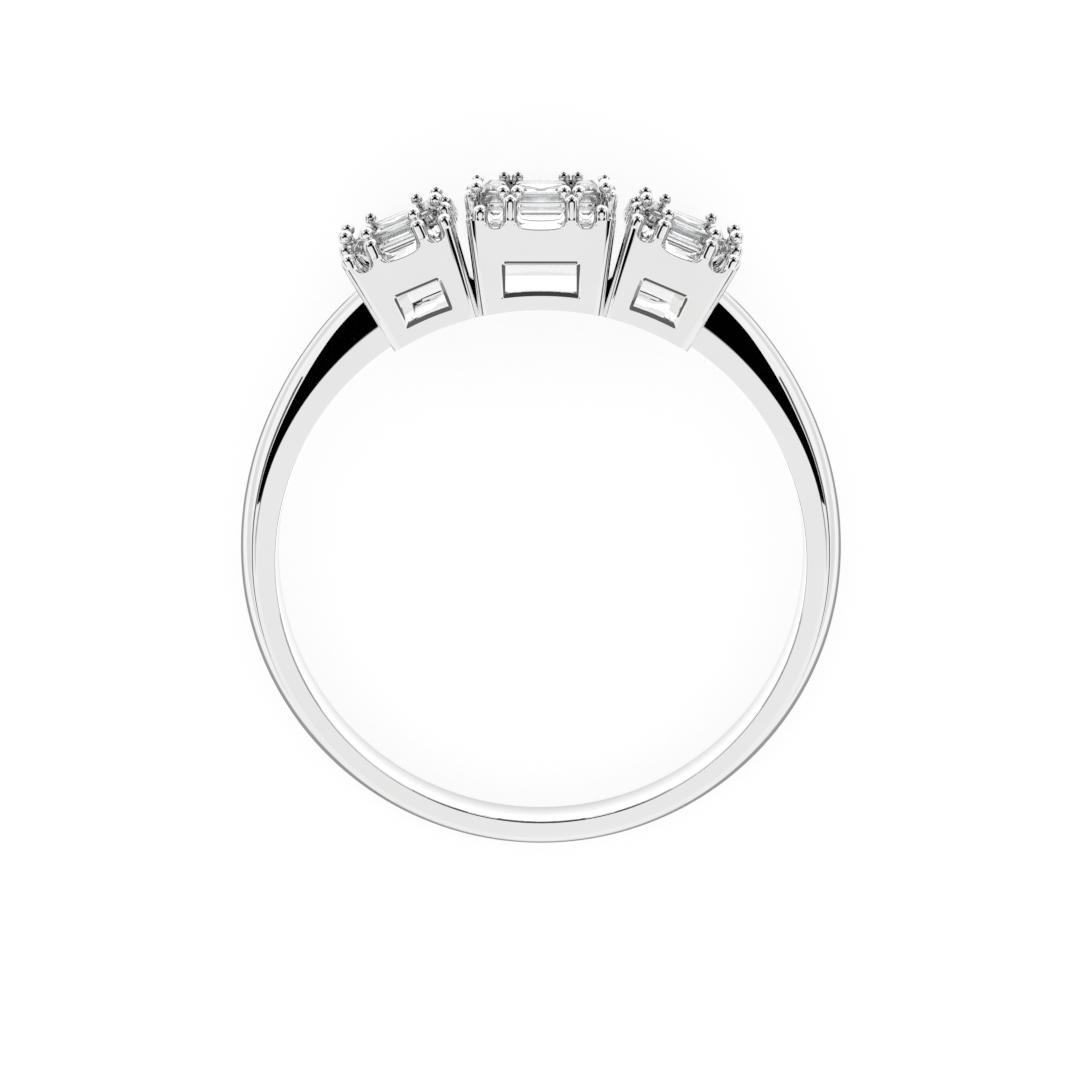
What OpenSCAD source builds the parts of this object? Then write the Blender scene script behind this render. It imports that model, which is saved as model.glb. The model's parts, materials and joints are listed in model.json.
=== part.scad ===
// Three stone ring lying on its side: a polished band with three box settings soldered side by side over its
// top. Each setting holds nine cut stones in three rows of three. The ring is drawn standing, with the finger
// hole along Z and the settings towards +Y, and is then tipped to lie as it would on a table.

/* [Finger hole] */
// Inside diameter of the band
finger_d = 17.2; // [15:0.1:21]
// Small bevel where the finger hole meets the band's flat sides
bore_bevel = 0.06; // [0.03:0.01:0.12]

/* [Band] */
// Width of the band, measured along the finger
band_w = 1.85; // [1.4:0.05:2.6]
// Height of the band's flat side at the bottom, opposite the settings
low_side_h = 0.69; // [0.5:0.01:1]
// Height of the band over its rounded back at the bottom
low_back_h = 0.93; // [0.8:0.01:1.3]
// Height of the flat side beside the shoulder's slanting face
flat_side_h = 0.8; // [0.5:0.01:1.1]
// Height of the shoulder's sharp edge where it meets the outer settings
shoulder_edge_h = 1.79; // [1.3:0.01:2.2]
// Height of the shoulder over its rounded back where it meets the outer settings
shoulder_back_h = 2.09; // [1.5:0.01:2.4]
// Width of the shoulder between its two sharp edges there
shoulder_w = 1.28; // [0.8:0.02:1.4]
// Softening of the band's outer edges
edge_soft = 0.04; // [0.02:0.01:0.1]

/* [Settings] */
// Width of the centre setting at the finger hole
centre_foot_w = 3.97; // [3.4:0.01:4.6]
// Depth of the centre setting, measured along the finger
centre_depth = 4.8; // [4.4:0.05:5.4]
// Height of the centre stones' tables over the finger hole
centre_table_h = 3.65; // [3.5:0.01:4]
// Width of each outer setting at the finger hole
outer_foot_w = 3.02; // [2.8:0.01:3.6]
// Depth of each outer setting, measured along the finger
outer_depth = 4.7; // [4.4:0.05:5.2]
// Height of the outer stones' tables over the finger hole
outer_table_h = 3.5; // [3.4:0.01:3.9]
// Lean of the settings' side walls, in degrees
wall_lean = 7.5; // [5:0.1:9]
// Thickness of the settings' walls and of the claws' posts
wall_t = 0.5; // [0.4:0.02:0.56]
// Radius of the settings' upright corners
corner_r = 0.35; // [0.2:0.01:0.4]
// Height of the scalloped rim's lowest points over the finger hole
rim_h = 2.58; // [2.45:0.01:2.7]
// Height of the settings' corners over the finger hole
corner_h = 2.86; // [2.8:0.01:3.05]
// Height of the rails below the windows
sill_h = 0.58; // [0.45:0.01:0.7]
// Height of the windows' upper edge over the finger hole
window_h = 1.43; // [1.2:0.01:1.6]
// Width of the centre setting's windows
centre_window_w = 2.26; // [1.4:0.02:2.6]
// Width of the outer settings' windows
outer_window_w = 1.42; // [1:0.02:1.7]
// Radius of the windows' corners
window_r = 0.1; // [0.05:0.01:0.2]
// Radius of the wide scallops' lower corners
scallop_r = 0.45; // [0.3:0.01:0.5]
// How far neighbouring settings run into each other at the solder seam
seam_overlap = 0.06; // [0.04:0.01:0.12]

/* [Claws] */
// Place of the centre setting's claws, as a share of the way from its middle to the stones' outer edge
centre_claw_share = 0.51; // [0.45:0.01:0.58]
// The same for the outer settings
outer_claw_share = 0.58; // [0.5:0.01:0.62]
// The same for the claws on every setting's side walls
side_claw_share = 0.52; // [0.45:0.01:0.6]
// Height of the claws' posts below the tables
post_drop = 0.23; // [0.1:0.01:0.3]
// Radius of the paired beads on the centre setting's claws
twin_bead_r = 0.22; // [0.18:0.01:0.24]
// Radius of the single beads on the outer settings' claws
bead_r = 0.24; // [0.2:0.01:0.28]
// Radius of the domed claws at the settings' corners
corner_claw_r = 0.25; // [0.2:0.01:0.26]
// Distance of the corner claws' middles from the front and back faces
corner_claw_in = 0.26; // [0.24:0.01:0.28]
// Distance of the centre setting's corner claws from its side faces
centre_corner_in = 0.5; // [0.4:0.01:0.52]
// The same for the outer settings
outer_corner_in = 0.27; // [0.26:0.01:0.28]
// Height of the middles of the corner claws' domes over the corners
corner_claw_h = 0.22; // [0.1:0.01:0.26]
// Width of the bars of the gallery that carries the stones
bar_w = 0.26; // [0.2:0.01:0.32]
// Depth of those bars
bar_h = 0.7; // [0.5:0.02:0.9]

/* [Stones] */
// Height of a stone's crown, from its girdle to its table
crown_h = 0.28; // [0.2:0.01:0.32]
// Width of a stone's crown facets, seen from above
crown_w = 0.24; // [0.16:0.01:0.28]
// Thickness of a stone's girdle
girdle_t = 0.07; // [0.04:0.01:0.1]
// Width of the upper pavilion facets, seen from above
pavilion_w = 0.3; // [0.2:0.01:0.34]
// Steepness of the upper pavilion facets, in degrees
pavilion_angle = 48.5; // [40:0.5:52]
// Steepness of the lower pavilion facets, in degrees
keel_angle = 42; // [35:0.5:46]
// Leg of the cut corner on each corner stone
corner_cut = 0.26; // [0.22:0.01:0.34]
// Gap between neighbouring stones
stone_gap = 0.04; // [0.03:0.01:0.06]
// Gap between a stone and the metal that holds it
seat_gap = 0.04; // [0.03:0.01:0.06]

/* [Hidden] */
$fn = 48;
bore_r = finger_d / 2;
eps = 0.01;

// A setting is a row: foot width, depth, height of the tables, window width, place of the claws, whether its
// beads are twins, their radius, and the place of its corner claws
function foot_w(s) = s[0];
function depth(s) = s[1];
function table_h(s) = s[2];
function window_w(s) = s[3];
function claw_share(s) = s[4];
function twin(s) = s[5];
function claw_bead_r(s) = s[6];
function corner_in(s) = s[7];
CENTRE = [
    centre_foot_w, centre_depth, centre_table_h, centre_window_w, centre_claw_share, true, twin_bead_r,
    centre_corner_in,
];
OUTER = [
    outer_foot_w, outer_depth, outer_table_h, outer_window_w, outer_claw_share, false, bead_r,
    outer_corner_in,
];

// Half the angle that a setting takes up round the finger hole
function foot_angle(s) = asin(foot_w(s) / 2 / bore_r);
// Height of a setting's foot corners over the hole's centre
function foot_y(s) = bore_r * cos(foot_angle(s));
// Half the outside width of a setting at a height over the hole's centre
function half_w(s, y) = foot_w(s) / 2 + (y - foot_y(s)) * tan(wall_lean);
// Half the inside width there
function half_in(s, y) = half_w(s, y) - wall_t / cos(wall_lean);
// Level of the underside of a setting's girdles
function girdle_y(s) = bore_r + table_h(s) - crown_h - girdle_t;

outer_turn = foot_angle(CENTRE) + foot_angle(OUTER) - seam_overlap / bore_r * 180 / PI;
// Each setting's name, row and turn round the finger hole
SETTINGS = [["left", OUTER, outer_turn], ["centre", CENTRE, 0], ["right", OUTER, -outer_turn]];

// Half the angle of the band, measured from the bottom, and how far its ends run on inside the outer settings
band_half = 180 - outer_turn - foot_angle(OUTER);
band_run_in = wall_t / bore_r * 180 / PI * 0.9;
band_steps = 26;

// The band's sections from the bottom, 0, to the outer settings, 1. Each other column is a share of the way
// from the bottom's value to the shoulder's: rise of the flat side, of the sharp edge, of the back, and the
// narrowing.
BAND = [
    // share, flat side, edge, back, narrowing
    [0.00, 0.00, 0.00, 0.00, 0.00],
    [0.30, 0.10, 0.01, 0.07, 0.00],
    [0.61, 0.55, 0.05, 0.22, 0.00],
    [0.70, 0.90, 0.12, 0.30, 0.04],
    [0.76, 1.00, 0.19, 0.38, 0.15],
    [0.82, 1.00, 0.29, 0.48, 0.33],
    [0.87, 1.00, 0.44, 0.60, 0.53],
    [0.91, 1.00, 0.60, 0.71, 0.70],
    [0.95, 1.00, 0.79, 0.84, 0.86],
    [1.00, 1.00, 1.00, 1.00, 1.00],
];
function column(k) = [for (row = BAND) [row[0], row[k]]];
function mix(a, b, share) = a + (b - a) * share;

// The band's inner part is a plain ring of this height, and the outer part is swept over it
core_h = 0.5;
core_lap = 0.15;

// Half a band section at a share of the way: points [radius, half width] from inside the core to the back
function half_section(t) =
    let (
        edge = mix(low_side_h, shoulder_edge_h, lookup(t, column(2))),
        flat = min(mix(low_side_h - edge_soft, flat_side_h, lookup(t, column(1))), edge - edge_soft),
        back = mix(low_back_h, shoulder_back_h, lookup(t, column(3))),
        side = band_w / 2,
        edge_side = mix(side - edge_soft, shoulder_w / 2, lookup(t, column(4)))
    )
    [
        [bore_r + core_h - core_lap, side],
        [bore_r + flat, side],
        for (z = [1, 0.82, 0.58, 0.3]) [bore_r + edge + (back - edge) * (1 - z * z), edge_side * z],
        [bore_r + back, 0],
    ];
// The whole section, up one side and down the other
function section(t) =
    let (half = half_section(t), n = len(half))
    [for (p = half) p, for (i = [n - 2:-1:0]) [half[i][0], -half[i][1]]];

// A closed solid through rings of equally many points
module loft(rings) {
    n = len(rings[0]);
    m = len(rings);
    points = [for (ring = rings) for (p = ring) p];
    sides = [
        for (j = [0:m - 2]) for (i = [0:n - 1])
            [j * n + i, j * n + (i + 1) % n, (j + 1) * n + (i + 1) % n, (j + 1) * n + i]
    ];
    first = [for (i = [n - 1:-1:0]) i];
    last = [for (i = [0:n - 1]) (m - 1) * n + i];
    polyhedron(points, [first, each sides, last], convexity = 8);
}

// The band runs round from inside one outer setting's wall to inside the other's
band_reach = band_half + band_run_in;

// The band's inner part, reaching into the finger hole for the cut that leaves its bevels
module band_core() {
    side = band_w / 2;
    spare = 0.3;
    rotate([0, 0, -90 - band_reach]) rotate_extrude(angle = 2 * band_reach, $fn = 96) polygon([
        [bore_r - spare, -(side - bore_bevel - spare)],
        [bore_r + bore_bevel, -side],
        [bore_r + core_h, -side],
        [bore_r + core_h, side],
        [bore_r + bore_bevel, side],
        [bore_r - spare, side - bore_bevel - spare],
    ]);
}
// The band's outer part, thin at the bottom and rising into the shoulders
module band_back() {
    loft([
        for (j = [band_steps:-1:-band_steps])
            let (a = band_reach * j / band_steps)
            [for (p = section(min(1, abs(a) / band_half))) [p[0] * sin(a), -p[0] * cos(a), p[1]]]
    ]);
}

// Level steps through a setting's outside, from below its foot to its corners' tops, as rounded rectangles
function box_ring(half_x, half_z, y) = [
    for (q = [0:3]) for (a = [0, 22.5, 45, 67.5, 90])
        let (turn = 90 * q + a, sx = q == 0 || q == 3 ? 1 : -1, sz = q < 2 ? 1 : -1)
        [sx * (half_x - corner_r) + corner_r * cos(turn), y, sz * (half_z - corner_r) + corner_r * sin(turn)]
];
module box_outside(s) {
    low = foot_y(s) - wall_t;
    top = bore_r + corner_h;
    loft([for (y = [low, top]) box_ring(half_w(s, y), depth(s) / 2, y)]);
}

// The open inside of a setting, from below the finger hole to above the rim
module box_inside(s) {
    low = foot_y(s) - 2 * wall_t;
    top = bore_r + table_h(s);
    linear_extrude(depth(s) - 2 * wall_t, center = true)
        polygon([
            [-half_in(s, low), low], [half_in(s, low), low],
            [half_in(s, top), top], [-half_in(s, top), top],
        ]);
}

// Puts its children on a setting's four walls: X runs along the wall, Y up it and Z out of it, with its face
// at 0. On the front and back walls Y starts at the hole's centre, and on the side walls at the foot.
module on_front_and_back(s) {
    for (side = [0, 1])
        mirror([0, 0, side]) translate([0, 0, depth(s) / 2]) children();
}
module on_sides(s) {
    for (side = [0, 1])
        mirror([side, 0, 0])
            translate([foot_w(s) / 2, foot_y(s), 0]) rotate([0, 0, -wall_lean]) rotate([0, 90, 0]) children();
}
// A height over the hole's centre, as a length up a leaning side wall
function up_wall(s, y) = (y - foot_y(s)) / cos(wall_lean);

// Half the length and half the depth of a setting's field of stones, and the places of the joints in it
function field_x(s) = half_in(s, girdle_y(s)) - seat_gap;
function field_z(s) = depth(s) / 2 - wall_t - seat_gap;
function joint_x(s) = field_x(s) * claw_share(s);
function joint_z(s) = field_z(s) * side_claw_share;
// Width of the crown facets, narrowed where the setting's narrowest stones need it
crown_share = 0.3;
// The step between the two rows of crown facets, as shares of their width and height
crown_step_w = 0.45;
crown_step_h = 0.62;
function crown_in(s) = min(crown_w, crown_share * min(field_x(s) - joint_x(s), field_z(s) - joint_z(s)));

// A slot open at the top with rounded lower corners, drawn on a wall's face
module scallop(x0, x1, bottom, top) {
    r = min(scallop_r, (x1 - x0) / 2 - eps);
    translate([0, 0, -wall_t - 0.2]) linear_extrude(wall_t + 0.4) {
        translate([x0, bottom + r]) square([x1 - x0, top - bottom - r]);
        translate([x0 + r, bottom]) square([x1 - x0 - 2 * r, r + eps]);
        for (x = [x0 + r, x1 - r]) translate([x, bottom + r]) circle(r);
    }
}
// The scallops of one wall: a wide one between the claws and a small one beside each, out to the corner
module scallops(claw_x, corner_x, bottom, top) {
    scallop(-claw_x + wall_t / 2, claw_x - wall_t / 2, bottom, top);
    for (side = [0, 1])
        mirror([side, 0, 0]) scallop(claw_x + wall_t / 2, corner_x, bottom, top);
}
// The middles of the corner claws' domes
corner_y = bore_r + corner_h + corner_claw_h;
function corner_x(s) = half_w(s, corner_y) - corner_in(s);
function corner_z(s) = depth(s) / 2 - corner_claw_in;

module rim_cuts(s) {
    low = bore_r + rim_h;
    top = bore_r + table_h(s) + 1;
    on_front_and_back(s)
        scallops(joint_x(s), corner_x(s) - corner_claw_r, low, top);
    on_sides(s)
        scallops(joint_z(s), corner_z(s) - corner_claw_r, up_wall(s, low), up_wall(s, top));
}

// A window right through the front and back walls, with its sill along the finger hole
module windows(s) {
    half = window_w(s) / 2;
    top = bore_r + window_h;
    linear_extrude(depth(s) + 2, center = true) difference() {
        union() {
            translate([-half, bore_r - 1]) square([2 * half, window_h + 1 - window_r]);
            translate([-half + window_r, bore_r]) square([2 * (half - window_r), window_h]);
            for (x = [-half + window_r, half - window_r]) translate([x, top - window_r]) circle(window_r);
        }
        circle(bore_r + sill_h, $fn = 96);
    }
}

// A round rod between two points
module rod(from, to, r) {
    way = to - from;
    translate(from)
        rotate([0, acos(way[2] / norm(way)), atan2(way[1], way[0])])
            cylinder(h = norm(way), r = r);
}

// How far a bead's centre lies inside the wall's outer face, and over the stones' girdles so that it clears
// the step in their crowns by the seat gap
bead_in = wall_t - 0.05;
function bead_rise(s) =
    let (w = crown_in(s), out = wall_t + seat_gap - bead_in)
    ((claw_bead_r(s) + seat_gap) * norm([w, crown_h]) - out * crown_h) / w
    + (crown_step_h - crown_step_w) * crown_h;
function bead_y(s) = girdle_y(s) + girdle_t + bead_rise(s);

// A claw on a wall's face: a post with a domed top, which stands on the wall between two scallops, and one
// bead or two on stems that reach in over the stones
module claw(s, x, foot, top, bead) {
    post_r = wall_t / 2 - eps;
    r = claw_bead_r(s);
    translate([x, foot, -wall_t / 2]) rotate([-90, 0, 0]) rotate_extrude($fn = 32) {
        square([post_r, top - foot]);
        translate([0, top - foot]) intersection() {
            circle(post_r);
            square(post_r);
        }
    }
    for (side = twin(s) ? [-1, 1] : [0]) {
        middle = [x + side * (r + eps), bead, -bead_in];
        translate(middle) sphere(r);
        rod([x + side * r / 2, top - r / 2, -wall_t / 2], middle, 0.6 * r);
    }
}
module claws(s) {
    foot = bore_r + corner_h - wall_t / 2;
    top = bore_r + table_h(s) - post_drop;
    on_front_and_back(s)
        for (side = [-1, 1]) claw(s, side * joint_x(s), foot, top, bead_y(s));
    on_sides(s)
        for (side = [-1, 1])
            claw(s, side * joint_z(s), up_wall(s, foot), up_wall(s, top), up_wall(s, bead_y(s)));
    for (side_x = [-1, 1]) for (side_z = [-1, 1])
        translate([side_x * corner_x(s), corner_y, side_z * corner_z(s)]) {
            sphere(corner_claw_r);
            rotate([90, 0, 0]) cylinder(h = corner_claw_h + corner_claw_r, r = corner_claw_r);
        }
}

// The gallery: bars under the joints between the stones, let into the walls
function gallery_y(s) =
    girdle_y(s) - (bar_w - stone_gap) / 2 * tan(pavilion_angle) - seat_gap / cos(pavilion_angle);
module gallery(s) {
    length_x = 2 * half_in(s, girdle_y(s)) + wall_t;
    length_z = depth(s) - wall_t;
    for (side = [-1, 1]) {
        translate([side * joint_x(s) - bar_w / 2, gallery_y(s) - bar_h, -length_z / 2])
            cube([bar_w, bar_h, length_z]);
        translate([-length_x / 2, gallery_y(s) - bar_h, side * joint_z(s) - bar_w / 2])
            cube([length_x, bar_h, bar_w]);
    }
}

// A ring of points drawn in by a distance, each side by the same
function inset(ring, d) =
    let (n = len(ring))
    [
        for (i = [0:n - 1])
            let (
                p = ring[i],
                to = p - ring[(i + n - 1) % n],
                on = ring[(i + 1) % n] - p,
                a = to / norm(to),
                b = on / norm(on)
            )
            p + (b - a) * d / cross(a, b)
    ];
// The way across a stone in one direction: the middle one lies between the joints, the others outside them
function span(place, joint, field) =
    place == 0 ? [-joint + stone_gap / 2, joint - stone_gap / 2] : [joint + stone_gap / 2, field];

// Half the width of a stone's keel
keel_half_w = 0.03;

// A step-cut stone: table, two rows of crown facets, girdle, two rows of pavilion facets and a narrow keel.
// Its place is -1, 0 or 1 along X and along Z, and a corner stone's outer corner is cut for the corner claw.
module stone(s, place_x, place_z) {
    along_x = span(place_x, joint_x(s), field_x(s));
    along_z = span(place_z, joint_z(s), field_z(s));
    cut = place_x != 0 && place_z != 0 ? corner_cut : 0;
    girdle = [
        [along_x[0], along_z[0]],
        [along_x[1], along_z[0]],
        if (cut > 0) [along_x[1], along_z[1] - cut],
        if (cut > 0) [along_x[1] - cut, along_z[1]],
        if (cut == 0) [along_x[1], along_z[1]],
        [along_x[0], along_z[1]],
    ];
    narrow = min(along_x[1] - along_x[0], along_z[1] - along_z[0]);
    keel_in = (cut > 0 ? min(narrow / 2, (narrow - cut) / sqrt(2)) : narrow / 2) - keel_half_w;
    pavilion_in = min(pavilion_w, 0.75 * keel_in);
    pavilion_h = pavilion_in * tan(pavilion_angle);
    keel_h = pavilion_h + (keel_in - pavilion_in) * tan(keel_angle);
    // Each step is an inset from the girdle and a height over its underside
    steps = [
        [crown_in(s), girdle_t + crown_h],
        [crown_step_w * crown_in(s), girdle_t + crown_step_h * crown_h],
        [0, girdle_t],
        [0, 0],
        [pavilion_in, -pavilion_h],
        [keel_in, -keel_h],
    ];
    mirror([place_x < 0 ? 1 : 0, 0, 0]) mirror([0, 0, place_z < 0 ? 1 : 0])
        loft([for (step = steps) [for (p = inset(girdle, step[0])) [p[0], girdle_y(s) + step[1], p[1]]]]);
}

// The ring lies on its side: it rests on the outer settings' outermost foot corners and on the band's bottom,
// so it is tipped by this angle and lifted onto its lowest points
low_corner_y = bore_r * cos(outer_turn + foot_angle(OUTER));
low_band_y = bore_r + low_side_h - edge_soft;
tip = atan((depth(OUTER) - band_w) / 2 / (low_corner_y + low_band_y));
lift = low_band_y * sin(tip) + band_w / 2 * cos(tip);
// The tipped ring's box is set with its middle over the origin
top_end = bead_y(CENTRE) * cos(tip) + (centre_depth / 2 - bead_in) * sin(tip) + twin_bead_r;
bottom_end = (bore_r + low_back_h) * cos(tip);
middle_y = (top_end - bottom_end) / 2;
module lay_down() {
    translate([0, -middle_y, lift]) rotate([tip, 0, 0]) children();
}

module metal() {
    color("gainsboro") lay_down() {
        difference() {
            union() {
                band_core();
                band_back();
                for (row = SETTINGS) rotate([0, 0, row[2]]) box_outside(row[1]);
            }
            for (row = SETTINGS) rotate([0, 0, row[2]]) {
                box_inside(row[1]);
                windows(row[1]);
                rim_cuts(row[1]);
            }
            cylinder(h = 20, r = bore_r, center = true, $fn = 96);
        }
        for (row = SETTINGS) rotate([0, 0, row[2]]) {
            claws(row[1]);
            gallery(row[1]);
        }
    }
}

// The nine stones of a setting, by name and place
PLACES = [
    ["back_left", -1, -1], ["back", 0, -1], ["back_right", 1, -1],
    ["left", -1, 0], ["middle", 0, 0], ["right", 1, 0],
    ["front_left", -1, 1], ["front", 0, 1], ["front_right", 1, 1],
];
function stone_name(setting, place) = str(setting[0], "_stone_", place[0]);

metal();
for (setting = SETTINGS) for (place = PLACES)
    color("aliceblue") lay_down() rotate([0, 0, setting[2]]) stone(setting[1], place[1], place[2]);
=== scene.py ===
"""Three stone ring lying on its side on a pale table: polished white gold, 27 step-cut stones, soft light.

Sizes are in millimetres in the ring's own frame, with x to the right, y towards the settings and z along the
finger. RING_TO_ROW puts them in the row, in metres. A setting is built upright and then turned to its place.
"""
import functools
import json
import math

import bmesh
import bpy
from mathutils import Matrix, Vector


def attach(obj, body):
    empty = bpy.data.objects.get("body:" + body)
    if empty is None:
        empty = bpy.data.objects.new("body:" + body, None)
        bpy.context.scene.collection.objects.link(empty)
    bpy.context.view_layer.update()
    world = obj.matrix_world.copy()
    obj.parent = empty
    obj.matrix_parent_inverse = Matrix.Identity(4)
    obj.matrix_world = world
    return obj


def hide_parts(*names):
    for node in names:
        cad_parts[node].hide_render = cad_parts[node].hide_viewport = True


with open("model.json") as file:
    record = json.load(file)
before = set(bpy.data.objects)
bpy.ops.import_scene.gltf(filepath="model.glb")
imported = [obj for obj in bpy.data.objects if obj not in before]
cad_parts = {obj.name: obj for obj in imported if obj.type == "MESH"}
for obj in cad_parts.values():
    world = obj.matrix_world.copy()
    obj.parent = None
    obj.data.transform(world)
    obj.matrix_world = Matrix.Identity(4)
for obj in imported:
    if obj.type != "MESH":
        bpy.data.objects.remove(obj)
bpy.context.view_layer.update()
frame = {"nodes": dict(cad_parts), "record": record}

MM = 0.001
X, Y, Z = Vector((1, 0, 0)), Vector((0, 1, 0)), Vector((0, 0, 1))

# The finger hole gives the ring's own frame: its centre, and its axis, which tips a little from upright
hole = frame["record"]["mounts"][0]
BORE_R = hole["dims"]["r_mm"]
TIP = math.atan2(-hole["axis"][1], hole["axis"][2])
RING_TO_ROW = (
    Matrix.Translation(Vector(hole["pos_m"])) @ Matrix.Rotation(TIP, 4, "X") @ Matrix.Scale(MM, 4)
)

# Sizes of the metal, as in the model. The band's and the walls' heights are measured from the finger hole
BAND_W = 1.85
BORE_BEVEL = 0.06
LOW_SIDE_H, LOW_BACK_H = 0.69, 0.93
FLAT_SIDE_H, SHOULDER_EDGE_H, SHOULDER_BACK_H = 0.8, 1.79, 2.09
SHOULDER_W = 1.28
EDGE_SOFT = 0.04
WALL_LEAN = math.radians(7.5)
WALL_T = 0.5
CORNER_R = 0.35
RIM_H, CORNER_H = 2.58, 2.86
SEAM_OVERLAP = 0.06
SEAT_GAP = 0.04
SIDE_CLAW_SHARE = 0.52
CROWN_H, CROWN_W, CROWN_SHARE, GIRDLE_T = 0.28, 0.24, 0.3, 0.07
CROWN_STEP_W, CROWN_STEP_H = 0.45, 0.62
PAVILION_ANGLE = math.radians(48.5)
BAR_W, BAR_H, STONE_GAP = 0.26, 0.7, 0.04
POST_DROP = 0.23
CORNER_CLAW_R, CORNER_CLAW_IN, CORNER_CLAW_H = 0.25, 0.26, 0.22
BEAD_IN = WALL_T - 0.05
TWIN_GAP = 0.01
STEM_SHARE = 0.6
TONGUE_HALF_W = 0.1

# Sizes that only this scene has: soft edges, curves, and the hair by which a piece stays inside the model's
WINDOW_BEVEL, WINDOW_BEVEL_IN, WINDOW_BEVEL_RUN_OUT = 0.13, 0.1, 0.5
SILL_H, WINDOW_H = 0.45, 1.56
WINDOW_R, WINDOW_LEAST_R = 0.1, 0.04
BOX_BEVEL, BAR_BEVEL = 0.05, 0.03
BEVEL_STEPS, BEVEL_ANGLE = 3, math.radians(33)
BEVEL_SUPPORT = 0.02
SCALLOP_R, SCALLOP_SAG = 0.3, 0.16
FACE_START, FACE_BEND = 0.12, 0.2
POST_R, POST_TIP_R = WALL_T / 2 - 0.01, 0.001
FLARE_LOW, FLARE_H, FLARE_R, FLARE_POWER = 2.46, 0.5, 0.3, 2.4
BACK_INSIDE, BEAD_INSIDE, CLAW_INSIDE = 0.007, 0.002, 0.004
LEAST_FLAT = 0.01
OVERSHOOT = 0.2
CLEAR_OVER = 1

# How finely round forms are divided
BORE_STEP_DEG = 2.5
BAND_STEPS = 150
SECTION_STEPS = 12
CORNER_STEPS = 10
SCALLOP_STEPS, SAG_STEPS = 12, 8
SILL_STEPS, WINDOW_CORNER_STEPS = 16, 6
POST_STEPS, POST_SIDES, STEM_SIDES = 10, 32, 16
BEAD_DIVISIONS = 4

# Materials: what the clouds in them vary between, as places on a ramp and colours there
GOLD_CLOUD_SCALE, GOLD_CLOUD_DETAIL = 300, 3
GOLD_TINTS = ((0.35, (0.91, 0.91, 0.905, 1)), (0.65, (0.93, 0.93, 0.93, 1)))
GOLD_ROUGHNESS = (0.015, 0.05)
STONE_CLOUD_SCALE = 500
STONE_TINTS = ((0, (0.97, 0.98, 1, 1)), (1, (1, 1, 1, 1)))
STONE_IOR = 2.42
FLOOR_GREY, FLOOR_ROUGHNESS = 0.3, 0.8

# What the floor shows to reflections alone, a painted reflection: a grey at each distance from a place near
# the ring's middle, and one grey of painted shade under the settings, which lie within an angle from that
# place
FLOOR_SIZE_M = 4
FLOOR_MIDDLE_Y = 0.1
FLOOR_LEVEL = 0.76
FLOOR_REACH = 30
# Painted reflection: greys by distance, dark in a ring round the band
FLOOR_PAINTED_REFLECTION_LEVELS = (
    (0, 0.93),
    (8.3, 0.93),
    (8.8, 0.4),
    (9.1, 0.08),
    (11.6, 0.08),
    (12, 0.45),
    (12.6, 0.8),
    (13.2, 0.6),
    (14, 0.8),
    (16, 0.5),
    (22, 0.5),
    (30, 0.7),
)
# Grey of the painted shade under the settings, for reflections alone
HEAD_PAINTED_SHADE_LEVEL = 0.8
HEAD_ANGLE, HEAD_ANGLE_END = math.radians(34), math.radians(39)

# The sky's greys, from the row's horizon, 0, to straight above, 1
SKY_LEVELS = ((0.0, 0.95), (0.3, 0.95), (0.8, 0.92), (0.92, 0.87), (1.0, 0.87))

# Dark cards that the shoulders' slanting faces reflect, by direction: degrees from the ring's axis, split
# into x and y. The inner edge has a softness as its third number, and fades over strips of rising level.
SHOULDER_AWAY = 1000
SHOULDER_INNER = ((-13, 9, 1), (-20, 5.5, 1), (-27, 2.5, 1), (-33, -1, 1.5), (-39, -5, 2.6))
SHOULDER_OUTER = ((-13, 22), (-25, 24), (-38, 22), (-52, 12), (-54, -4))
SHOULDER_FADE = ((1.2, 0, 0.15), (2.4, 1.2, 0.35), (3.6, 2.4, 0.6))
SHOULDER_FADE_SLANT = 0.5

# Low dark walls round the ring: degrees round from the settings' side, half width, lowest and highest degrees
# over the ring's plane, level. The side ones come on both sides. They fade out towards the bottom of the
# band, so that the finger hole's dark line fades out towards the settings.
HORIZON_AWAY = 300
HORIZON_STEPS = 8
HORIZON_SIDES = (
    (92, 25, 6, 23, 0.12),
    (119, 2, 6, 23, 0.3),
    (123, 2, 6, 23, 0.5),
    (127, 2, 6, 23, 0.7),
)
HORIZON_ENDS = ((180, 25, 3, 18, 0.12), (0, 12, 3, 32, 0.05), (28, 8, 12, 32, 0.12), (-28, 8, 12, 32, 0.12))

# Black cards above and beyond the settings: half width as a share of the distance, lowest and highest degrees
OVERHEAD_AWAY = 1000
OVERHEAD = ((0.6, 13, 55), (0.16, 4, 13))

# The lamps at each setting: height over the finger hole, size up the wall, level
INSIDE_LAMP_H, INSIDE_LAMP_SIZE, INSIDE_LAMP_LEVEL = 2.4, 1.3, 0.4
RAIL_LAMP_H, RAIL_LAMP_SIZE, RAIL_LAMP_LEVEL = -0.65, 0.9, 0.25
RAIL_LAMP_OUT = 0.6
FILL_LAMP_H, FILL_LAMP_LEVEL = 1.75, 0.3
LAMP_W_AT_H, LAMP_SIDE_GAP, LAMP_WALL_GAP = 1.8, 0.05, 0.02

CAMERA_ELEVATION = math.radians(11.8)
CAMERA_TARGET = Vector((-0.03, 0.64, 0))
CAMERA_AWAY = 150
CAMERA_LENS, CAMERA_SENSOR = 153.3, 36
CAMERA_CLIP_M = 0.01


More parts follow.
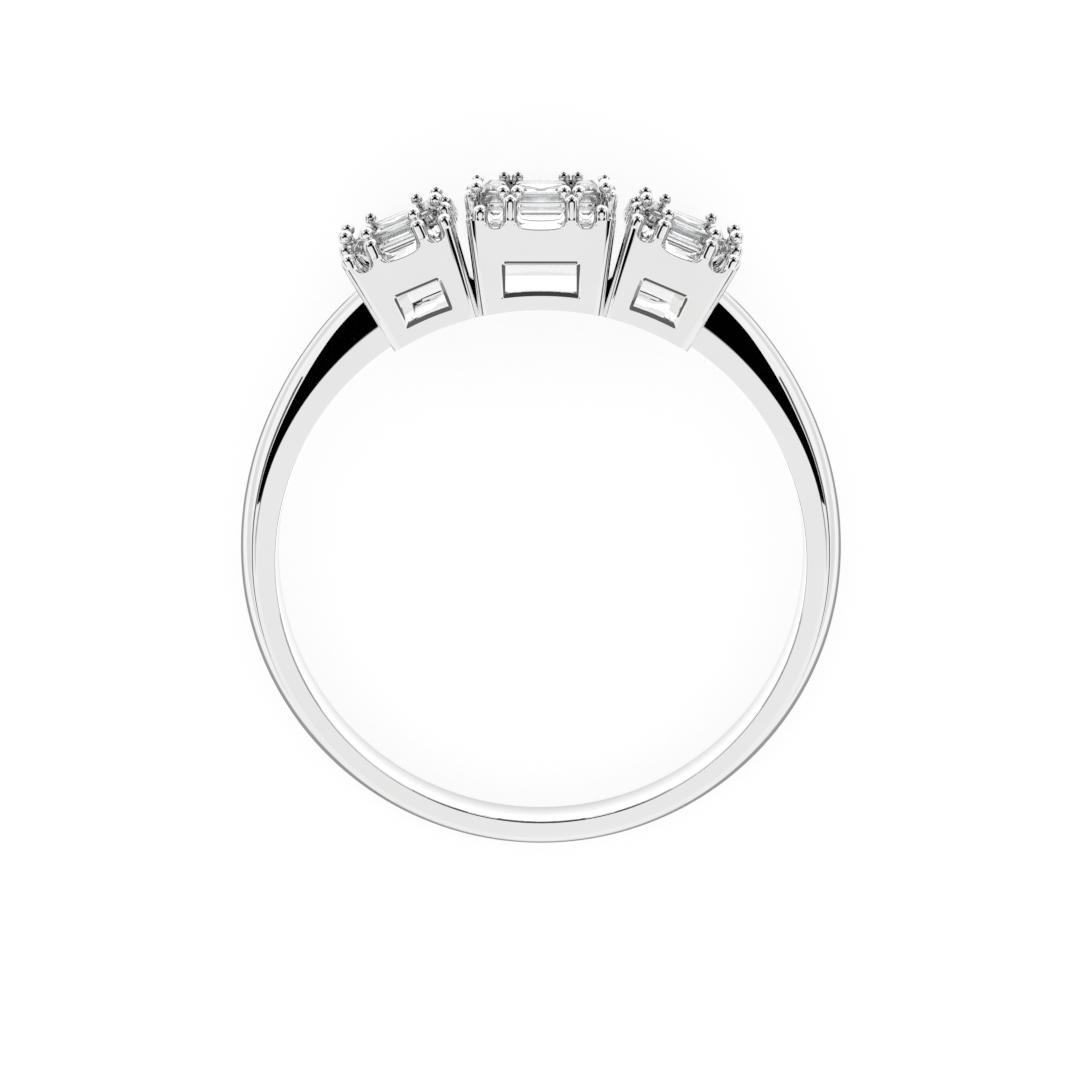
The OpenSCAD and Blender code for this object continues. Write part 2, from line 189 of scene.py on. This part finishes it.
class Setting:
    """One box setting: its sizes, and the heights and places worked out from them, in the ring's frame."""

    def __init__(self, name, foot_w, depth, table_h, window_w, claw_share, twin, bead_r, corner_in):
        self.name, self.foot_w, self.depth, self.table_h = name, foot_w, depth, table_h
        self.window_w, self.twin, self.bead_r = window_w, twin, bead_r
        self.foot_angle = math.asin(foot_w / 2 / BORE_R)
        self.foot_y = BORE_R * math.cos(self.foot_angle)
        self.girdle_y = BORE_R + table_h - CROWN_H - GIRDLE_T
        field_x = self.half_in(self.girdle_y) - SEAT_GAP
        field_z = depth / 2 - WALL_T - SEAT_GAP
        self.joint_x = field_x * claw_share
        self.joint_z = field_z * SIDE_CLAW_SHARE
        crown_in = min(CROWN_W, CROWN_SHARE * min(field_x - self.joint_x, field_z - self.joint_z))
        out = WALL_T + SEAT_GAP - BEAD_IN
        rise = ((bead_r + SEAT_GAP) * math.hypot(crown_in, CROWN_H) - out * CROWN_H) / crown_in
        self.bead_y = self.girdle_y + GIRDLE_T + rise + (CROWN_STEP_H - CROWN_STEP_W) * CROWN_H
        self.corner_y = BORE_R + CORNER_H + CORNER_CLAW_H
        self.corner_x = self.half_w(self.corner_y) - corner_in
        self.corner_z = depth / 2 - CORNER_CLAW_IN
        self.clear_y = BORE_R + table_h + CLEAR_OVER
        self.turn = 0.0

    def half_w(self, y):
        """Half the outside width at a height."""
        return self.foot_w / 2 + (y - self.foot_y) * math.tan(WALL_LEAN)

    def half_in(self, y):
        """Half the inside width at a height."""
        return self.half_w(y) - WALL_T / math.cos(WALL_LEAN)

    def up_wall(self, y):
        """How far up the leaning side wall a height lies."""
        return (y - self.foot_y) / math.cos(WALL_LEAN)


OUTER_SIZES = {
    "foot_w": 3.02,
    "depth": 4.7,
    "table_h": 3.5,
    "window_w": 1.68,
    "claw_share": 0.58,
    "twin": False,
    "bead_r": 0.24,
    "corner_in": 0.27,
}
CENTRE = Setting(
    "centre",
    foot_w=3.97,
    depth=4.8,
    table_h=3.65,
    window_w=2.52,
    claw_share=0.51,
    twin=True,
    bead_r=0.22,
    corner_in=0.5,
)
LEFT = Setting("left", **OUTER_SIZES)
RIGHT = Setting("right", **OUTER_SIZES)
LEFT.turn = CENTRE.foot_angle + LEFT.foot_angle - SEAM_OVERLAP / BORE_R
RIGHT.turn = -LEFT.turn
SETTINGS = (LEFT, CENTRE, RIGHT)

# The band's sections from the bottom, 0, to the outer settings, 1. The other columns are shares of the way
# from the bottom's value to the shoulder's: rise of the flat side, of the sharp edge, of the back, and the
# narrowing.
BAND = (
    (0.00, 0.00, 0.00, 0.00, 0.00),
    (0.30, 0.10, 0.01, 0.07, 0.00),
    (0.61, 0.55, 0.05, 0.22, 0.00),
    (0.70, 0.90, 0.12, 0.30, 0.04),
    (0.76, 1.00, 0.19, 0.38, 0.15),
    (0.82, 1.00, 0.29, 0.48, 0.33),
    (0.87, 1.00, 0.44, 0.60, 0.53),
    (0.91, 1.00, 0.60, 0.71, 0.70),
    (0.95, 1.00, 0.79, 0.84, 0.86),
    (1.00, 1.00, 1.00, 1.00, 1.00),
)
BAND_HALF = math.pi - LEFT.turn - LEFT.foot_angle
BAND_RUN_IN = 0.9 * WALL_T / BORE_R


def new_object(name, data):
    """An object in the scene from a mesh, a lamp's data or a camera's."""
    obj = bpy.data.objects.new(name, data)
    bpy.context.scene.collection.objects.link(obj)
    return obj


def mesh_object(name, verts, faces):
    """An object from points and faces."""
    mesh = bpy.data.meshes.new(name)
    mesh.from_pydata([tuple(v) for v in verts], [], faces)
    mesh.validate()
    return new_object(name, mesh)


def bmesh_object(name, bm):
    """An object from a bmesh, which is freed."""
    mesh = bpy.data.meshes.new(name)
    bm.to_mesh(mesh)
    bm.free()
    return new_object(name, mesh)


def arc(cx, cy, r, start, end, steps):
    """Points along an arc, in degrees."""
    angles = [math.radians(start + (end - start) * k / steps) for k in range(steps + 1)]
    return [(cx + r * math.cos(a), cy + r * math.sin(a)) for a in angles]


def mix(a, b, share):
    """The value at a share of the way from one value to another."""
    return a + (b - a) * share


def outward(obj):
    """Turns all faces outward."""
    bm = bmesh.new()
    bm.from_mesh(obj.data)
    bmesh.ops.recalc_face_normals(bm, faces=bm.faces)
    bm.to_mesh(obj.data)
    bm.free()
    return obj


def loft(name, rings):
    """A solid through rings of equally many points."""
    n = len(rings[0])
    m = len(rings)
    verts = [p for ring in rings for p in ring]
    faces = [
        (j * n + i, j * n + (i + 1) % n, (j + 1) * n + (i + 1) % n, (j + 1) * n + i)
        for j in range(m - 1)
        for i in range(n)
    ]
    faces += [tuple(reversed(range(n))), tuple((m - 1) * n + i for i in range(n))]
    return mesh_object(name, verts, faces)


def prism(name, outline, z0, z1):
    """A prism along Z from an outline of (x, y) points."""
    return loft(name, [[(x, y, z) for x, y in outline] for z in (z0, z1)])


def lathe(name, profile, sides):
    """A turned solid about Y from (radius, height) points, closed flat at both ends."""
    turns = [2 * math.pi * k / sides for k in range(sides)]
    rings = [[(r * math.cos(a), y, r * math.sin(a)) for a in turns] for r, y in profile]
    return outward(loft(name, rings))


def placed(obj, matrix):
    """Moves an object's points by a matrix."""
    obj.data.transform(matrix)
    return obj


def applied(obj):
    """Applies an object's modifiers."""
    graph = bpy.context.evaluated_depsgraph_get()
    mesh = bpy.data.meshes.new_from_object(obj.evaluated_get(graph))
    obj.modifiers.clear()
    obj.data = mesh
    return obj


def combined(obj, operation, others):
    """A solid less the others, or what it has in common with them."""
    for other in others:
        modifier = obj.modifiers.new("boolean", "BOOLEAN")
        modifier.operation = operation
        modifier.solver = "EXACT"
        modifier.object = other
    return applied(obj)


def bevelled(obj, width):
    """Rounds the sharp edges."""
    modifier = obj.modifiers.new("bevel", "BEVEL")
    modifier.width = width
    modifier.segments = BEVEL_STEPS
    modifier.limit_method = "ANGLE"
    modifier.angle_limit = BEVEL_ANGLE
    modifier.use_clamp_overlap = True
    return applied(obj)


def joined(name, parts):
    """One object from several."""
    bm = bmesh.new()
    for part in parts:
        bm.from_mesh(part.data)
        bpy.data.objects.remove(part)
    return bmesh_object(name, bm)


def smooth(obj):
    """Smooth shading whose flat faces stay flat."""
    for face in obj.data.polygons:
        face.use_smooth = True
    modifier = obj.modifiers.new("normals", "WEIGHTED_NORMAL")
    modifier.mode = "FACE_AREA"
    modifier.weight = 100
    modifier.keep_sharp = True


def finished(obj, turn=0.0):
    """Puts a piece of metal in its place in the row, in metres."""
    placed(obj, RING_TO_ROW @ Matrix.Rotation(turn, 4, "Z"))
    smooth(obj)
    obj.data.materials.clear()
    obj.data.materials.append(white_gold())
    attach(obj, "root")
    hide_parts("metal")


def along_band(t, column):
    """A column's value at a share of the way, on a smooth curve through its rows."""
    rows = [(row[0], row[column]) for row in BAND]
    last = len(rows) - 1
    k = max(j for j in range(last) if rows[j][0] <= t)
    (x0, y0), (x1, y1) = rows[k], rows[k + 1]

    def slope(j):
        """The curve's slope at a row: level at the bottom, elsewhere as its neighbours give it."""
        if j == 0:
            return 0.0
        before, after = rows[j - 1], rows[min(j + 1, last)]
        return (after[1] - before[1]) / (after[0] - before[0])

    w = x1 - x0
    u = (t - x0) / w
    rise = (3 * u**2 - 2 * u**3) * y1 + (2 * u**3 - 3 * u**2 + 1) * y0
    return rise + (u**3 - 2 * u**2 + u) * slope(k) * w + (u**3 - u**2) * slope(k + 1) * w


def half_section(t):
    """Half a band section: (radius, half width) from the finger hole over the flat side and the slanting
    face, round the sharp edge and over the domed back to its middle."""
    side = BAND_W / 2
    edge = mix(LOW_SIDE_H, SHOULDER_EDGE_H, along_band(t, 2))
    flat = min(mix(LOW_SIDE_H - EDGE_SOFT, FLAT_SIDE_H, along_band(t, 1)), edge - EDGE_SOFT)
    back = mix(LOW_BACK_H, SHOULDER_BACK_H, along_band(t, 3)) - BACK_INSIDE
    edge_side = mix(side - EDGE_SOFT, SHOULDER_W / 2, along_band(t, 4))
    start = flat - FACE_START
    points = [
        (BORE_R, 0.0),
        (BORE_R, side - BORE_BEVEL - BEVEL_SUPPORT),
        (BORE_R, side - BORE_BEVEL),
        (BORE_R + BORE_BEVEL, side),
        (BORE_R + BORE_BEVEL + BEVEL_SUPPORT, side),
        (BORE_R + start, side),
    ]
    for k in range(1, SECTION_STEPS + 1):
        u = k / SECTION_STEPS
        bend = (1 + FACE_BEND) * u * u / (u + FACE_BEND)
        points.append((BORE_R + mix(start, edge, u), mix(side, edge_side, bend)))
    for k in range(1, SECTION_STEPS + 1):
        a = 1 - k / SECTION_STEPS
        points.append((BORE_R + mix(edge, back, 1 - a * a), edge_side * a))
    return points


def band():
    """The hoop, with both ends running on into the outer settings' walls."""
    reach = BAND_HALF + BAND_RUN_IN
    rings = []
    for j in range(-BAND_STEPS, BAND_STEPS + 1):
        a = reach * j / BAND_STEPS
        half = half_section(min(1.0, abs(a) / BAND_HALF))
        section = half[1:] + [(r, -z) for r, z in reversed(half[1:-1])]
        rings.append([(r * math.sin(a), -r * math.cos(a), z) for r, z in section])
    finished(outward(loft("band", rings)))


def box_ring(s, y, inset=0.0):
    """A setting's outline at a height, with round corners."""
    half_x, half_z = s.half_w(y) - CORNER_R - inset, s.depth / 2 - CORNER_R - inset
    ring = []
    for q, (sx, sz) in enumerate(((1, 1), (-1, 1), (-1, -1), (1, -1))):
        corner = arc(sx * half_x, sz * half_z, CORNER_R, 90 * q, 90 * q + 90, CORNER_STEPS)
        ring += [(x, y, z) for x, z in corner]
    return ring


def wall_matrices(s):
    """Matrices that put pieces on the front and back walls, and on the right and left walls: X along, Y up,
    Z out."""
    front = Matrix.Translation((0, 0, s.depth / 2))
    lean = Matrix.Rotation(-WALL_LEAN, 4, "Z") @ Matrix.Rotation(math.pi / 2, 4, "Y")
    right = Matrix.Translation((s.foot_w / 2, s.foot_y, 0)) @ lean
    return (front, Matrix.Scale(-1, 4, Z) @ front), (right, Matrix.Scale(-1, 4, X) @ right)


def scallop_outline(x0, x1, bottom, top):
    """What a scallop takes out of a wall, with round corners and a slight sag."""
    r = min(SCALLOP_R, (x1 - x0) / 2 - LEAST_FLAT)
    left, right = x0 + r, x1 - r
    sag = SCALLOP_SAG * (right - left)
    along = [k / SAG_STEPS for k in range(1, SAG_STEPS)]
    return (
        [(x1, top), (x0, top)]
        + arc(left, bottom + r, r, 180, 270, SCALLOP_STEPS)
        + [(mix(left, right, u), bottom - sag * u * (1 - u)) for u in along]
        + arc(right, bottom + r, r, 270, 360, SCALLOP_STEPS)
    )


def rim_cutters(s):
    """Three scallops in each wall, between the claws' tongues."""
    rim = BORE_R + RIM_H
    faces, sides = wall_matrices(s)
    cutters = []
    for matrices, claw, corner, low, high in (
        (faces, s.joint_x, s.corner_x, rim, s.clear_y),
        (sides, s.joint_z, s.corner_z, s.up_wall(rim), s.up_wall(s.clear_y)),
    ):
        inner, outer, end = claw - TONGUE_HALF_W, claw + TONGUE_HALF_W, corner - TONGUE_HALF_W
        for matrix in matrices:
            for x0, x1 in ((-inner, inner), (outer, end), (-end, -outer)):
                outline = scallop_outline(x0, x1, low, high)
                cutters.append(placed(prism("scallop", outline, -WALL_T - OVERSHOOT, OVERSHOOT), matrix))
    return cutters


def window_outline(s, grow):
    """A window's outline, its sill along the finger hole, drawn larger all round by a distance."""
    half, top, sill = s.window_w / 2 + grow, BORE_R + WINDOW_H + grow, BORE_R + SILL_H - grow
    r = max(WINDOW_R + grow, WINDOW_LEAST_R)
    end = math.degrees(math.asin(half / sill))
    return (
        arc(0, 0, sill, 90 + end, 90 - end, SILL_STEPS)
        + arc(half - r, top - r, r, 0, 90, WINDOW_CORNER_STEPS)
        + arc(-half + r, top - r, r, 90, 180, WINDOW_CORNER_STEPS)
    )


def window_cutters(s):
    """A window through both walls, and the wide bevels round its outer edges."""
    cutters = [prism("window", window_outline(s, -WINDOW_BEVEL), -s.depth, s.depth)]
    for side in (-1, 1):
        rings = []
        for share in (-1, WINDOW_BEVEL_RUN_OUT):
            z = side * (s.depth / 2 + share * WINDOW_BEVEL_IN)
            rings.append([(x, y, z) for x, y in window_outline(s, share * WINDOW_BEVEL)])
        cutters.append(loft("window_bevel", rings))
    return cutters


def inside_cutter(s):
    """The open inside of a setting, from below the finger hole to above the rim."""
    low, high = s.foot_y - 2 * WALL_T, BORE_R + s.table_h
    half_low, half_high = s.half_in(low), s.half_in(high)
    outline = [(-half_low, low), (half_low, low), (half_high, high), (-half_high, high)]
    return prism("inside", outline, -s.depth / 2 + WALL_T, s.depth / 2 - WALL_T)


def bore_cutter(s):
    """The finger hole, as the upright setting sees it."""
    outline = arc(0, 0, BORE_R, 0, 360 - BORE_STEP_DEG, round(360 / BORE_STEP_DEG) - 1)
    return placed(prism("bore", outline, -s.depth, s.depth), Matrix.Rotation(-s.turn, 4, "Z"))


def box(s):
    """A setting's walls."""
    low, top = s.foot_y - WALL_T, BORE_R + CORNER_H
    obj = outward(loft(s.name + "_box", [box_ring(s, low), box_ring(s, top)]))
    cutters = [inside_cutter(s), *window_cutters(s), *rim_cutters(s), bore_cutter(s)]
    combined(obj, "DIFFERENCE", [outward(cutter) for cutter in cutters])
    for cutter in cutters:
        bpy.data.objects.remove(cutter)
    finished(bevelled(obj, BOX_BEVEL), s.turn)


def envelope(s):
    """The outside of a setting drawn up past its claws, a hair inside the box's own walls."""
    rings = [box_ring(s, y, inset=CLAW_INSIDE) for y in (s.foot_y, s.clear_y)]
    return outward(loft("envelope", rings))


def post(r, foot, top):
    """A round post about Y whose foot flares into the wall and whose top is a dome."""
    profile = []
    for k in range(POST_STEPS):
        u = k / (POST_STEPS - 1)
        profile.append((r + FLARE_R * (1 - u) ** FLARE_POWER, foot + u * FLARE_H))
    for k in range(POST_STEPS):
        a = math.radians(90 * k / (POST_STEPS - 1))
        profile.append((max(r * math.cos(a), POST_TIP_R), top + r * math.sin(a)))
    return lathe("post", profile, POST_SIDES)


def ball(centre, r):
    """A bead's ball."""
    bm = bmesh.new()
    place = Matrix.Translation(centre)
    bmesh.ops.create_icosphere(bm, subdivisions=BEAD_DIVISIONS, radius=r - BEAD_INSIDE, matrix=place)
    return bmesh_object("ball", bm)


def rod(start, end, r):
    """A straight round rod between two points."""
    way = Vector(end) - Vector(start)
    obj = lathe("rod", [(r, 0), (r, way.length)], STEM_SIDES)
    return placed(obj, Matrix.Translation(start) @ way.to_track_quat("Y", "Z").to_matrix().to_4x4())


def claws(s):
    """The posts, clipped to the setting's outside, and the beads on stems that hold the stones."""
    foot, top = BORE_R + FLARE_LOW, BORE_R + s.table_h - POST_DROP
    posts, beads = [], []
    r = s.bead_r
    faces, sides = wall_matrices(s)
    for matrices, joint, up in ((faces, s.joint_x, lambda y: y), (sides, s.joint_z, s.up_wall)):
        for matrix in matrices:
            for x in (-joint, joint):
                stand = matrix @ Matrix.Translation((x, 0, -WALL_T / 2))
                posts.append(placed(post(POST_R, up(foot), up(top)), stand))
                for side in (-1, 1) if s.twin else (0,):
                    middle = (x + side * (r + TWIN_GAP), up(s.bead_y), -BEAD_IN)
                    start = (x + side * r / 2, up(top) - r / 2, -WALL_T / 2)
                    stem = rod(start, middle, STEM_SHARE * r)
                    beads += [placed(ball(middle, r), matrix), placed(stem, matrix)]
    for x in (-s.corner_x, s.corner_x):
        for z in (-s.corner_z, s.corner_z):
            stand = Matrix.Translation((x, 0, z))
            posts.append(placed(post(CORNER_CLAW_R, foot, s.corner_y), stand))
    shell = envelope(s)
    for obj in posts:
        combined(outward(obj), "INTERSECT", [shell])
    bpy.data.objects.remove(shell)
    for obj in beads:
        outward(obj)
    finished(joined(s.name + "_claws", posts + beads), s.turn)


def gallery(s):
    """Crossed bars under the joints between the stones."""
    slope = (BAR_W - STONE_GAP) / 2 * math.tan(PAVILION_ANGLE)
    y1 = s.girdle_y - slope - SEAT_GAP / math.cos(PAVILION_ANGLE)
    y0 = y1 - BAR_H
    half_x, half_z = s.half_in(s.girdle_y) + WALL_T / 2, (s.depth - WALL_T) / 2
    bars = []
    for side in (-1, 1):
        x, z = side * s.joint_x, side * s.joint_z
        for x0, x1, z0, z1 in (
            (x - BAR_W / 2, x + BAR_W / 2, -half_z, half_z),
            (-half_x, half_x, z - BAR_W / 2, z + BAR_W / 2),
        ):
            bar = outward(prism("bar", [(x0, y0), (x1, y0), (x1, y1), (x0, y1)], z0, z1))
            bars.append(bevelled(bar, BAR_BEVEL))
    finished(joined(s.name + "_gallery", bars), s.turn)


def stones():
    """The model's own stones, cut flat."""
    for name, node in frame["nodes"].items():
        if "_stone_" in name:
            node.data.materials.clear()
            node.data.materials.append(diamond())
            for face in node.data.polygons:
                face.use_smooth = False


def nodes_of(material):
    """A material's nodes and links, and its shader."""
    material.use_nodes = True
    tree = material.node_tree
    return tree.nodes, tree.links, tree.nodes["Principled BSDF"]


def set_sockets(node, values):
    """Sets a node's own sockets."""
    for socket, value in values.items():
        node.inputs[socket].default_value = value


def grey(level):
    """A grey as a colour."""
    return (level, level, level, 1)


def grey_ramp(nodes, levels):
    """A ramp of greys from (place, level) pairs."""
    ramp = nodes.new("ShaderNodeValToRGB")
    elements = ramp.color_ramp.elements
    elements.remove(elements[1])
    for k, (place, level) in enumerate(levels):
        element = elements[0] if k == 0 else elements.new(place)
        element.position = place
        element.color = grey(level)
    return ramp


def clouds(nodes, links, scale):
    """Soft noise that stays with the piece."""
    place = nodes.new("ShaderNodeTexCoord")
    cloud = nodes.new("ShaderNodeTexNoise")
    cloud.inputs["Scale"].default_value = scale
    links.new(place.outputs["Object"], cloud.inputs["Vector"])
    return cloud


def tinted(nodes, links, cloud, shader, stops):
    """Gives a shader a colour that the clouds vary between two stops of (place, colour)."""
    tint = nodes.new("ShaderNodeValToRGB")
    for element, (place, colour) in zip(tint.color_ramp.elements, stops):
        element.position = place
        element.color = colour
    links.new(cloud.outputs["Fac"], tint.inputs["Fac"])
    links.new(tint.outputs["Color"], shader.inputs["Base Color"])


@functools.cache
def white_gold():
    """Rhodium-bright white gold: a mirror with the faintest waviness of hand polishing."""
    material = bpy.data.materials.new("white_gold")
    nodes, links, shader = nodes_of(material)
    shader.inputs["Metallic"].default_value = 1
    cloud = clouds(nodes, links, GOLD_CLOUD_SCALE)
    cloud.inputs["Detail"].default_value = GOLD_CLOUD_DETAIL
    tinted(nodes, links, cloud, shader, GOLD_TINTS)
    rough = nodes.new("ShaderNodeMapRange")
    rough.inputs["To Min"].default_value, rough.inputs["To Max"].default_value = GOLD_ROUGHNESS
    links.new(cloud.outputs["Fac"], rough.inputs["Value"])
    links.new(rough.outputs["Result"], shader.inputs["Roughness"])
    return material


@functools.cache
def diamond():
    """Clear colourless stone with polished facets."""
    material = bpy.data.materials.new("diamond")
    nodes, links, shader = nodes_of(material)
    set_sockets(shader, {"Transmission Weight": 1, "IOR": STONE_IOR, "Roughness": 0})
    tinted(nodes, links, clouds(nodes, links, STONE_CLOUD_SCALE), shader, STONE_TINTS)
    return material


@functools.cache
def card_stock(level):
    """What cards of a level are made of: it reflects nothing and only shines."""
    material = bpy.data.materials.new("card")
    shader = nodes_of(material)[2]
    set_sockets(
        shader,
        {
            "Base Color": grey(0),
            "Specular IOR Level": 0,
            "Emission Color": grey(1),
            "Emission Strength": level,
        },
    )
    return material


def floor_middle():
    """The floor's point straight under a place near the ring's middle, in the row."""
    drop = hole["pos_m"][2] / MM + FLOOR_MIDDLE_Y * math.sin(TIP)
    return RING_TO_ROW @ Vector((0, FLOOR_MIDDLE_Y, -drop / math.cos(TIP)))


def painted_floor_reflection(nodes, links):
    """The floor's painted reflection, which reflections alone see: greys by distance, and painted shade under
    the settings.
    """
    place = nodes.new("ShaderNodeTexCoord")
    offset = nodes.new("ShaderNodeVectorMath")
    offset.operation = "SUBTRACT"
    offset.inputs[1].default_value = floor_middle()
    links.new(place.outputs["Object"], offset.inputs[0])

    away = nodes.new("ShaderNodeVectorMath")
    away.operation = "LENGTH"
    links.new(offset.outputs["Vector"], away.inputs[0])
    share = nodes.new("ShaderNodeMapRange")
    share.inputs["From Max"].default_value = FLOOR_REACH * MM
    links.new(away.outputs["Value"], share.inputs["Value"])
    # Painted reflection: a dark ring round the band, by distance
    ramp = grey_ramp(nodes, [(distance / FLOOR_REACH, level) for distance, level in FLOOR_PAINTED_REFLECTION_LEVELS])
    links.new(share.outputs["Result"], ramp.inputs["Fac"])

    way = nodes.new("ShaderNodeVectorMath")
    way.operation = "NORMALIZE"
    links.new(offset.outputs["Vector"], way.inputs[0])
    split = nodes.new("ShaderNodeSeparateXYZ")
    links.new(way.outputs["Vector"], split.inputs["Vector"])
    # Painted shade under the settings: a grey for the ways within an angle
    under_head = nodes.new("ShaderNodeMapRange")
    set_sockets(under_head, {"From Min": math.cos(HEAD_ANGLE_END), "From Max": math.cos(HEAD_ANGLE)})
    links.new(split.outputs["Y"], under_head.inputs["Value"])

    light = nodes.new("ShaderNodeMix")
    light.inputs["B"].default_value = HEAD_PAINTED_SHADE_LEVEL
    links.new(under_head.outputs["Result"], light.inputs["Factor"])
    links.new(ramp.outputs["Color"], light.inputs["A"])
    return light.outputs["Result"]


def floor():
    """The table: evenly pale, and with a painted dark reflection ring round the band and painted shade under
    the settings, for reflections alone.
    """
    bpy.ops.mesh.primitive_plane_add(size=FLOOR_SIZE_M, location=(0, 0, 0))
    obj = bpy.context.object
    obj.name = "floor"
    material = bpy.data.materials.new("pale_floor")
    nodes, links, shader = nodes_of(material)
    set_sockets(
        shader,
        {
            "Base Color": grey(FLOOR_GREY),
            "Roughness": FLOOR_ROUGHNESS,
            "Specular IOR Level": 0,
            "Emission Color": grey(1),
        },
    )
    # Glossy rays see the painted reflection and painted shade; other rays see the floor evenly pale
    ray = nodes.new("ShaderNodeLightPath")
    light = nodes.new("ShaderNodeMix")
    light.inputs["A"].default_value = FLOOR_LEVEL
    links.new(ray.outputs["Is Glossy Ray"], light.inputs["Factor"])
    links.new(painted_floor_reflection(nodes, links), light.inputs["B"])
    links.new(light.outputs["Result"], shader.inputs["Emission Strength"])
    obj.data.materials.append(material)


def sky():
    """Soft studio light from all round: a little darker overhead than at the sides."""
    world = bpy.data.worlds.new("studio")
    bpy.context.scene.world = world
    world.use_nodes = True
    nodes, links = world.node_tree.nodes, world.node_tree.links
    place = nodes.new("ShaderNodeTexCoord")
    split = nodes.new("ShaderNodeSeparateXYZ")
    links.new(place.outputs["Generated"], split.inputs["Vector"])
    ramp = grey_ramp(nodes, SKY_LEVELS)
    links.new(split.outputs["Z"], ramp.inputs["Fac"])
    links.new(ramp.outputs["Color"], nodes["Background"].inputs["Color"])


def card(name, pairs, level):
    """A strip through pairs of points that only reflections see, as bright as its level."""
    faces = [(2 * k, 2 * k + 1, 2 * k + 3, 2 * k + 2) for k in range(len(pairs) - 1)]
    obj = mesh_object(name, [RING_TO_ROW @ Vector(p) for pair in pairs for p in pair], faces)
    obj.data.materials.append(card_stock(level))
    obj.visible_camera = False
    obj.visible_diffuse = False
    obj.visible_shadow = False
    obj.visible_transmission = False


def far_point(x, y):
    """The far point in a direction: its angle from the ring's axis, in degrees, split into x and y."""
    angle = math.radians(math.hypot(x, y))
    way = math.atan2(y, x)
    out = math.sin(angle)
    return [SHOULDER_AWAY * v for v in (out * math.cos(way), out * math.sin(way), math.cos(angle))]


def shoulder_cards():
    """Dark cards far away on both sides, each with strips that fade its inner edge out."""

    def faded(inner, by):
        """A place on the inner edge, moved away from the card by a distance times its softness."""
        x, y, soft = inner
        return x + SHOULDER_FADE_SLANT * by * soft, y - by * soft

    strips = [([(faded(inner, 0), outer) for inner, outer in zip(SHOULDER_INNER, SHOULDER_OUTER)], 0)]
    for near, far, level in SHOULDER_FADE:
        strips.append(([(faded(inner, near), faded(inner, far)) for inner in SHOULDER_INNER], level))
    for side in (-1, 1):
        for pairs, level in strips:
            card("shoulder_card", [[far_point(-side * x, y) for x, y in pair] for pair in pairs], level)


def horizon_cards():
    """Low dark walls far round the ring, for the lines along its bevels."""
    away = HORIZON_AWAY
    sides = [(side * azimuth, *rest) for side in (-1, 1) for azimuth, *rest in HORIZON_SIDES]
    for azimuth, half, low, high, level in (*sides, *HORIZON_ENDS):
        pairs = []
        for k in range(HORIZON_STEPS + 1):
            a = math.radians(azimuth - half + 2 * half * k / HORIZON_STEPS)
            x, y = away * math.sin(a), away * math.cos(a)
            pairs.append([(x, y, away * math.tan(math.radians(up))) for up in (low, high)])
        card("horizon_card", pairs, level)


def overhead_cards():
    """Black cards far above and beyond the settings, for the dark squares in the claws' domes."""
    away = OVERHEAD_AWAY
    for half, low, high in OVERHEAD:
        heights = [math.tan(math.radians(up)) * away for up in (low, high)]
        card("overhead_card", [[(x * away, y, away) for y in heights] for x in (-half, half)], 0)


def lamp(name, stand, centre, ways, size, level):
    """A small soft lamp as bright as its level, from its stand's matrix, its middle there, the ways that its
    two sides run, and their lengths."""
    data = bpy.data.lights.new(name, "AREA")
    data.shape = "RECTANGLE"
    data.size, data.size_y = (v * MM for v in size)
    data.energy = 4 * data.size * data.size_y * level
    x, y = ways
    place = Matrix((x, y, x.cross(y))).transposed().to_4x4()
    place.translation = centre
    obj = new_object(name, data)
    obj.matrix_world = RING_TO_ROW @ stand @ place @ Matrix.Scale(1 / MM, 4)
    obj.visible_camera = False
    obj.visible_diffuse = False
    return obj


def lamps():
    """Small lamps for what the sky can't reach: at each setting one behind the front wall, one under the
    stones, and one in the finger hole that whitens what shows through the window."""
    for s in SETTINGS:
        turn = Matrix.Rotation(s.turn, 4, "Z")
        deep = s.depth / 2 - WALL_T - LAMP_WALL_GAP
        wide = 2 * (s.half_in(BORE_R + LAMP_W_AT_H) - LAMP_SIDE_GAP)
        for name, up, out, ways, size, level in (
            ("inside_lamp", INSIDE_LAMP_H, deep, (X, Y), INSIDE_LAMP_SIZE, INSIDE_LAMP_LEVEL),
            ("fill_lamp", FILL_LAMP_H, 0, (X, Z), 2 * deep, FILL_LAMP_LEVEL),
            ("rail_lamp", RAIL_LAMP_H, deep + RAIL_LAMP_OUT, (X, Y), RAIL_LAMP_SIZE, RAIL_LAMP_LEVEL),
        ):
            obj = lamp(name, turn, (0, BORE_R + up, out), ways, (wide, size), level)
            obj.visible_glossy = name != "fill_lamp"


def camera():
    """The photo's camera: a little towards the settings from the ring's axis."""
    data = bpy.data.cameras.new("camera")
    data.lens = CAMERA_LENS
    data.sensor_width = CAMERA_SENSOR
    data.clip_start = CAMERA_CLIP_M
    obj = new_object("camera", data)
    way = Vector((0, math.sin(CAMERA_ELEVATION), math.cos(CAMERA_ELEVATION)))
    obj.location = RING_TO_ROW @ (CAMERA_TARGET + way * CAMERA_AWAY)
    obj.rotation_euler = (TIP - CAMERA_ELEVATION, 0, 0)
    bpy.context.scene.camera = obj


bpy.context.scene.view_settings.view_transform = "Standard"
camera()
sky()
floor()
shoulder_cards()
horizon_cards()
overhead_cards()
lamps()
band()
for setting in SETTINGS:
    box(setting)
    claws(setting)
    gallery(setting)
stones()
